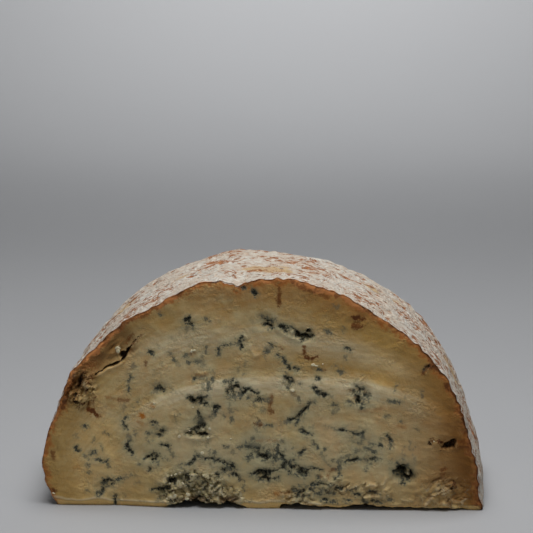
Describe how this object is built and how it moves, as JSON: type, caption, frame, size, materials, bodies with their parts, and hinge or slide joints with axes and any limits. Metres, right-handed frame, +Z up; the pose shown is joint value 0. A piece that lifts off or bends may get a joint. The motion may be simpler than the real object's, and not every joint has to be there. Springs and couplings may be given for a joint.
{
  "type": "quarter of a blue cheese wheel",
  "caption": "Thick half-round piece of piquant blue cheese: a veined cut face, a bloomed rind over the arch, standing on its second cut.",
  "frame": {"origin": "middle of the footprint, on the surface that the cheese stands on", "axes": "+X along the straight foot of the half-round cut face, -Y out of that face, +Y to the flat rind face at the back, +Z up"},
  "size_m": [0.286, 0.0934, 0.1531],
  "materials": {
    "cheese": "moist matte cut paste with blue-green mould veins, and a dry powdery rind with orange-brown patches"
  },
  "bodies": {
    "root": {"cheese": "cheese"}
  },
  "joints": []
}
